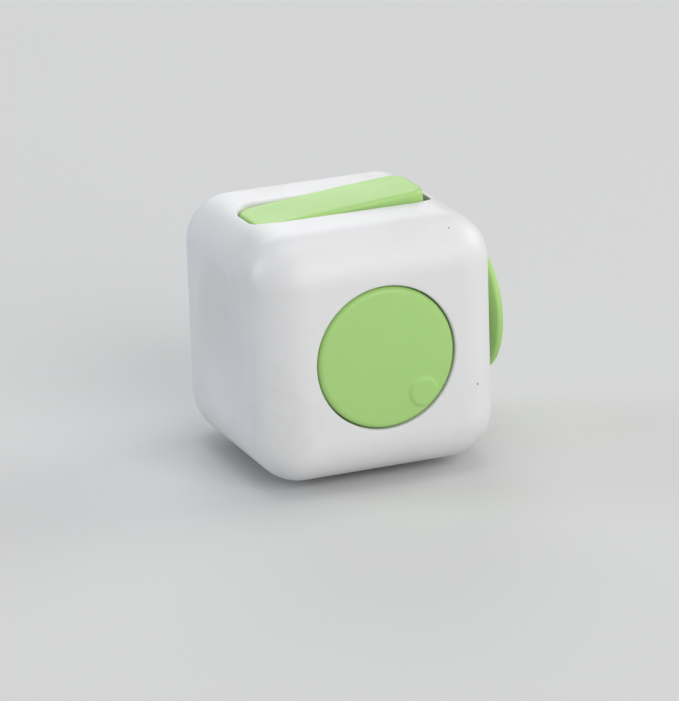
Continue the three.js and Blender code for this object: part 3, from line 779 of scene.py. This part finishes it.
def onRocker(points):
    # points measured from the rocker's pivot, tipped as the rocker is at rest
    turn = Matrix.Rotation(-math.radians(rocker["tilt"]), 3, "Y")
    return points @ np.array(turn).T + np.array(joints["rocker_flip"]["pos_m"])


def stackedLoops(rows, square):
    # rounded rectangles of half sizes a and b and corner radius r, one above the other
    return np.array([np.insert(roundedLoop(square, a, b, r), 2, z, axis=1) for a, b, r, z in rows])


def makeRocker():
    # the cap is a stack of rounded rectangles that shrinks to its middle above and below
    a, b, r, edge = rocker["a"], rocker["b"], rocker["corner"], rocker["edge"]
    top, low, cut = rocker["top"], rocker["top"] - rocker["thick"], rocker["shoulder"]
    rows = [((a - edge) * s, (b - edge) * s, (r - edge) * s, top) for s in np.linspace(0, 1, 24)]
    turns = np.radians(np.linspace(90, 0, 9))
    bends = [(edge * (1 - math.cos(turn)), edge * (1 - math.sin(turn))) for turn in turns[1:]]
    rows += [(a - inset, b - inset, r - inset, top - drop) for inset, drop in bends]
    rows += [(a, b, r, low + cut), (a - cut, b - cut, r - cut, low)]
    rows += [((a - cut) * s, (b - cut) * s, (r - cut) * s, low) for s in (0.7, 0.3, 0)]
    cap = stackedLoops(rows, squareLoop(72, 30))
    share = np.clip(1 - (cap[..., 0] / a) ** 2, 0, 1)
    cap[..., 2] += rocker["crown"] * (share - 1) * (cap[..., 2] > low + 2 * cut)
    hubA, hubB, hubR = rocker["hub"]
    ends = (low + cut, rocker["hubEnd"])
    hub = [(s * hubA, s * hubB, s * hubR, z) for s, z in zip((0, 1, 1, 0), np.repeat(ends, 2))]
    bore, outside = rocker["sleeve"]
    foot, root = rocker["sleeveEnds"]
    sleeve = turnedGrid(line((bore, root), (bore, foot), (outside, foot), (outside, root)), 48)
    grids = [(cap, False), (stackedLoops(hub, squareLoop(12, 12)), False), (sleeve, True)]
    points, quads = stackGrids(grids)
    return newMesh("flipRocker", onRocker(points), quads)


newPiece(makeRocker(), "rocker", ["flip_rocker"], "green_plastic")

# glide pad

padLow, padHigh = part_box("glide_pad")
pad = {
    "radius": (padHigh.y - padLow.y) / 2,
    "top": padHigh.x - halfCube,
    "dish": 0.9 * mm,
    "dishGap": 0.06 * mm, # from the dish's edge up to the rim's top
    "rim": 0.55 * mm, # radius of the rim's rounding
    "rimWidth": 1.3 * mm,
    "taper": (1.6 * mm, 1.55 * mm), # where the underside starts, in from the edge and down from the top
    "neck": (3.7 * mm, 0.95 * mm), # radius and height where the taper ends
    "neckEdge": (3.3 * mm, 0.9 * mm),
    "stem": 2.2 * mm,
    "stemRound": 0.3 * mm,
    "stemEnd": -3.6 * mm,
    "bore": 0.75 * mm,
    "boreDepth": 2.6 * mm,
}


def makePad():
    # a shallow bowl rising with the square of the radius, a rounded rim, and a tapered underside
    rimInner = pad["radius"] - pad["rimWidth"]
    underside = pad["neckEdge"][1]
    boreTop = pad["stemEnd"] + pad["boreDepth"]
    r = np.linspace(0, rimInner, 24)
    bowl = np.stack([r, pad["top"] - pad["dishGap"] - pad["dish"] * (1 - (r / rimInner) ** 2)], -1)
    rim = arc(pad["radius"] - pad["rim"], pad["top"] - pad["rim"], pad["rim"], 105, -50, 14)
    below = line(
        (pad["radius"] - pad["taper"][0], pad["top"] - pad["taper"][1]),
        pad["neck"],
        pad["neckEdge"],
        (pad["stem"] + pad["stemRound"], underside),
        (pad["stem"], underside - pad["stemRound"]),
        (pad["stem"], pad["stemEnd"]),
        (pad["bore"], pad["stemEnd"]),
        (pad["bore"], boreTop),
        (0, boreTop),
    )
    points, quads = stackGrids([(turnedGrid(np.concatenate([bowl, rim, below]), 200), False)])
    return newMesh("glidePad", fromFace("right", points), quads)


newPiece(makePad(), "pad", ["glide_pad"], "green_plastic")

# click buttons

button = {
    "radius": 2.5 * mm,
    "flat": 1.75 * mm, # radius of the flat tip
    "flange": 3.3 * mm,
    "flangeEnds": (-2.1 * mm, -2.9 * mm), # heights, from the face
    "flangeEdge": 0.1 * mm,
    "foot": 1.2 * mm, # the peg that presses the dome
    "footEnd": -3.3 * mm,
}


def makeButton(node):
    # a round tip with a soft shoulder, and the flange that keeps it in the shell
    x, y = nodeSpot("bottom", node)
    tip = toFace("bottom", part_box(node)[0])[2]
    shoulder = button["radius"] - button["flat"]
    flange, edge, foot = button["flange"], button["flangeEdge"], button["foot"]
    top, low = button["flangeEnds"]
    profile = np.concatenate([
        line((0, tip), (button["flat"] * 0.5, tip), (button["flat"], tip)),
        arc(button["flat"], tip - shoulder, shoulder, 84, 0, 10),
        line((button["radius"], top), (flange - edge, top), (flange, top - edge)),
        line((flange, low + edge), (flange - edge, low)),
        line((foot, low), (foot, button["footEnd"]), (0, button["footEnd"])),
    ])
    name = "click" + pieceName(node).replace("button", "Button")
    points, quads = stackGrids([(turnedGrid(profile, 96, x, y), False)])
    return newMesh(name, fromFace("bottom", points), quads)


for node in buttonNodes:
    body = "click" + node[len("button"):]
    newPiece(makeButton(node), body, [node], "green_plastic")

# roller gears and ball

gear = {
    "teeth": 14,
    "tip": 4.4 * mm,
    "root": 3.72 * mm,
    "flank": 0.45, # a smaller value makes the teeth's sides steeper
    "bore": 1.05 * mm,
    "edge": 0.3 * mm,
    "hollow": (0.55, 0.62, 0.8, 0.86), # the side's hollow, as shares of the radius from lip to lip
    "hollowDepth": 0.25 * mm,
}


def makeGear(node):
    # rings round the axle: out along one side, over the toothed rim, and back along the other
    low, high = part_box(node)
    centre = np.array((low + high) / 2)
    half = (high.x - low.x) / 2
    turn = np.linspace(0, 2 * np.pi, gear["teeth"] * 20, endpoint=False)
    tooth = smoothStep(np.cos(turn * gear["teeth"]), -gear["flank"], gear["flank"])
    radius = gear["root"] + (gear["tip"] - gear["root"]) * tooth
    dips = (0, gear["hollowDepth"], gear["hollowDepth"], 0)
    rows = [(0, gear["bore"], -half)] # share of the radius, what is added to it, and x
    rows += [(share, 0, -half + dip) for share, dip in zip(gear["hollow"], dips)]
    bend = [(math.cos(t), math.sin(t)) for t in np.radians(np.linspace(90, 0, 5))]
    rows += [(1, -gear["edge"] * (1 - c), -half + gear["edge"] * (1 - s)) for c, s in bend]
    rows += [(share, extra, -x) for share, extra, x in reversed(rows)]
    grid = []
    for share, extra, x in rows:
        ring = radius * share + extra
        grid.append(np.stack([np.full_like(turn, x), ring * np.cos(turn), ring * np.sin(turn)], -1))
    points, quads = stackGrids([(np.array(grid), True)])
    name = "rollerGear" + node.split("_")[1].capitalize()
    return newMesh(name, points + centre, quads)


for node in gearNodes:
    body = node.split("_")[1] + "_gear"
    newPiece(makeGear(node), body, [node], "bright_steel")


def makeBall():
    # a ball whose rings are even in angle from pole to pole, along the back face's way out
    rings = arc(0, 0, ballRadius, -90, 90, 60)
    points, quads = stackGrids([(turnedGrid(rings, 120), False)])
    return newMesh("rollerBall", fromFace("back", points + ballAt), quads)


newPiece(makeBall(), "ball", ["roller_ball"], "bright_steel")
print("outer pieces made")

# springy pieces inside, which flatten when a control is pressed

snapDome = {"wall": 0.2 * mm, "rim": 0.93, "keep": 0.3, "ballKeep": 0.16}
siliconePad = {
    "top": 0.5, # widths as shares of the foot's
    "waist": 0.62,
    "bend": 0.4, # heights as shares of the whole: where the side turns outwards, and where it ends
    "foot": 0.15,
    "keep": 0.3,
}
detentSpring = {
    "radius": 0.75 * mm,
    "wire": 0.18 * mm,
    "turns": 4,
    "low": -3.4 * mm,
    "high": -1.7 * mm,
    "taper": 60, # a larger value makes the wire's ends shorter
    "keep": 0.68,
}


def seatOf(face, node):
    # centre, radius, and the heights of the two ends of a round piece, in its face's frame
    low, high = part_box(node)
    ends = sorted((toFace(face, low)[2], toFace(face, high)[2]))
    centre = toFace(face, (low + high) / 2)
    return centre[0], centre[1], (high.x - low.x) / 2, ends[0], ends[1]


def makeDome(face, node):
    # a thin cap whose height falls with the square of the radius, the same curve above and below
    x, y, radius, low, high = seatOf(face, node)
    wall = snapDome["wall"]
    r = np.linspace(0, radius, 22)
    above = np.stack([r, high - (high - low - wall) * (r / radius) ** 2], -1)
    below = above[::-1] * np.array([snapDome["rim"], 1]) - np.array([0, wall])
    rim = line((radius, low))
    points, quads = stackGrids([(turnedGrid(np.concatenate([above, rim, below]), 72, x, y), False)])
    return newMesh(pieceName(node), fromFace(face, points), quads)


def makeSiliconePad(node):
    # a soft bell: a flat top, a side that widens with a sine, and a flare that follows a cosine to
    # the foot that lies on the board
    x, y, radius, low, high = seatOf("bottom", node)
    top, waist = siliconePad["top"] * radius, siliconePad["waist"] * radius
    bend, foot = siliconePad["bend"], siliconePad["foot"]
    t = np.linspace(0, 1, 14)
    sideR = top + (waist - top) * np.sin(np.pi * t / 2)
    side = np.stack([sideR, high - (1 - bend) * (high - low) * t], -1)
    flareR = waist + (radius - waist) * (1 - np.cos(np.pi * t / 2))
    flare = np.stack([flareR, low + (bend - (bend - foot) * t) * (high - low)], -1)
    profile = np.concatenate([line((0, high)), side, flare[1:], line((radius, low), (0, low))])
    points, quads = stackGrids([(turnedGrid(profile, 72, x, y), False)])
    return newMesh(pieceName(node), fromFace("bottom", points), quads)


def makeSpring():
    # a helix: the wire's centre climbs evenly as it turns, and the end turns close to a point
    radius, wire = detentSpring["radius"], detentSpring["wire"]
    low, high = detentSpring["low"], detentSpring["high"]
    t = np.linspace(0, 1, 120)[:, None]
    turn = 2 * np.pi * detentSpring["turns"] * t
    height = low + wire + (high - low - 2 * wire) * t
    size = wire * np.sqrt(np.clip(np.minimum(t, 1 - t) * detentSpring["taper"], 0, 1))
    around = np.linspace(0, 2 * np.pi, 12, endpoint=False)[None, :]
    out = radius + size * np.cos(around)
    grid = np.stack([out * np.cos(turn), out * np.sin(turn), height + size * np.sin(around)], -1)
    points, quads = stackGrids([(grid, False)])
    return newMesh("detentSpring", onRocker(points), quads)


def flattens(piece):
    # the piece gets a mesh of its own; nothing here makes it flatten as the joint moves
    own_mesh(piece)


for node in frame["nodes"]:
    if node.startswith("click_dome_"):
        dome = newPiece(makeDome("bottom", node), "housing", [node], "bright_steel")
        flattens(dome)
    if node.startswith("silent_pad_"):
        cushion = newPiece(makeSiliconePad(node), "housing", [node], "silicone")
        flattens(cushion)
ballDome = newPiece(makeDome("back", "ball_dome"), "housing", ["ball_dome"], "bright_steel")
flattens(ballDome)
spring = newPiece(makeSpring(), "rocker", ["detent_spring"], "bright_steel")
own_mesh(spring)
print("springy pieces made")

# the pieces inside keep their CAD meshes and get their finishes

slotOf = {part["node"]: part["material_slot"] for part in frame["record"]["subparts"]}
for name, node in frame["nodes"].items():
    node.data.materials.clear()
    node.data.materials.append(finishes[slotOf[name]])

# floor, light and camera

stageLook = {
    "floor": (0.62, 0.62, 0.62),
    "floorShade": (0.6076, 0.6076, 0.6076),
    "floorReach": 3.0,
    "world": 0.36,
    "lights": { # place, size, power, colour
        "keyLight": ((0.12, -0.84, 0.44), 0.75, 4.9, (1.0, 0.998, 0.99)),
        "topLight": ((0.00, 0.05, 0.90), 0.7, 2.0, (1.0, 1.0, 1.0)),
        "leftLight": ((-0.80, 0.42, 0.32), 0.45, 2.4, (0.80, 0.88, 1.0)),
        "rightLight": ((0.85, 0.05, 0.40), 0.6, 2.6, (1.0, 1.0, 1.0)),
        "backLight": ((0.20, 0.85, 0.45), 0.6, 1.8, (1.0, 1.0, 1.0)),
    },
}


def makeFloor():
    # a flat square grid whose tone changes slowly
    count = 9
    x = np.linspace(-stageLook["floorReach"], stageLook["floorReach"], count)
    u, v = np.meshgrid(x, x, indexing="ij")
    points = np.stack([u, v, np.zeros_like(u)], -1).reshape(-1, 3)
    mesh = newMesh("floor", points, gridQuads(count, count, 0, False))
    finish, tree, shader = newFinish("paleFloor")
    tone = mixColour(tree, noiseAt(tree, 3, 2), stageLook["floor"], stageLook["floorShade"])
    tree.links.new(tone, shader.inputs["Base Color"])
    shader.inputs["Roughness"].default_value = 0.8
    mesh.materials.append(finish)
    floor = bpy.data.objects.new("floor", mesh)
    bpy.context.scene.collection.objects.link(floor)


def addLight(name, place, size, power, colour):
    # a round lamp that points at the middle of the cube
    light = bpy.data.lights.new(name, "AREA")
    light.shape = "DISK"
    light.size = size
    light.energy = power
    light.color = colour
    lamp = bpy.data.objects.new(name, light)
    bpy.context.scene.collection.objects.link(lamp)
    lamp.location = place
    lamp.rotation_euler = (Vector(cubeCentre) - Vector(place)).to_track_quat("-Z", "Y").to_euler()


def makeWorld():
    world = bpy.data.worlds.new("studio")
    world.use_nodes = True
    background = world.node_tree.nodes["Background"].inputs
    background["Color"].default_value = (1, 1, 1, 1)
    background["Strength"].default_value = stageLook["world"]
    bpy.context.scene.world = world


makeFloor()
makeWorld()
for name, (place, size, power, colour) in stageLook["lights"].items():
    addLight(name, place, size, power, colour)

camera = {
    "lens": 231,
    "sensor": 36,
    "clip": (0.01, 20),
    "distance": 0.5882,
    "elevation": 18.0,
    "azimuth": 21.8, # to the left of the dial's face
    "roll": 1.85,
    "right": 0.0002, # the camera stands this far to the right of and below the line to the cube
    "down": 0.00354,
}


def makeCamera():
    # a camera that looks along its own back direction, level but for the roll, a little off the cube
    e, a, roll = (math.radians(camera[key]) for key in ("elevation", "azimuth", "roll"))
    right = Vector((math.cos(a), -math.sin(a), 0))
    back = Vector((-math.sin(a) * math.cos(e), -math.cos(a) * math.cos(e), math.sin(e)))
    up = back.cross(right)
    turnedRight = right * math.cos(roll) - up * math.sin(roll)
    turnedUp = right * math.sin(roll) + up * math.cos(roll)
    place = Vector(cubeCentre) + back * camera["distance"]
    place += turnedRight * camera["right"] - turnedUp * camera["down"]
    data = bpy.data.cameras.new("camera")
    data.lens = camera["lens"]
    data.sensor_width = camera["sensor"]
    data.clip_start, data.clip_end = camera["clip"]
    eye = bpy.data.objects.new("camera", data)
    bpy.context.scene.collection.objects.link(eye)
    turn = Matrix((turnedRight, turnedUp, back)).transposed()
    eye.matrix_world = Matrix.Translation(place) @ turn.to_4x4()
    bpy.context.scene.camera = eye


makeCamera()
bpy.context.scene.view_settings.view_transform = "Standard"
print("stage set")
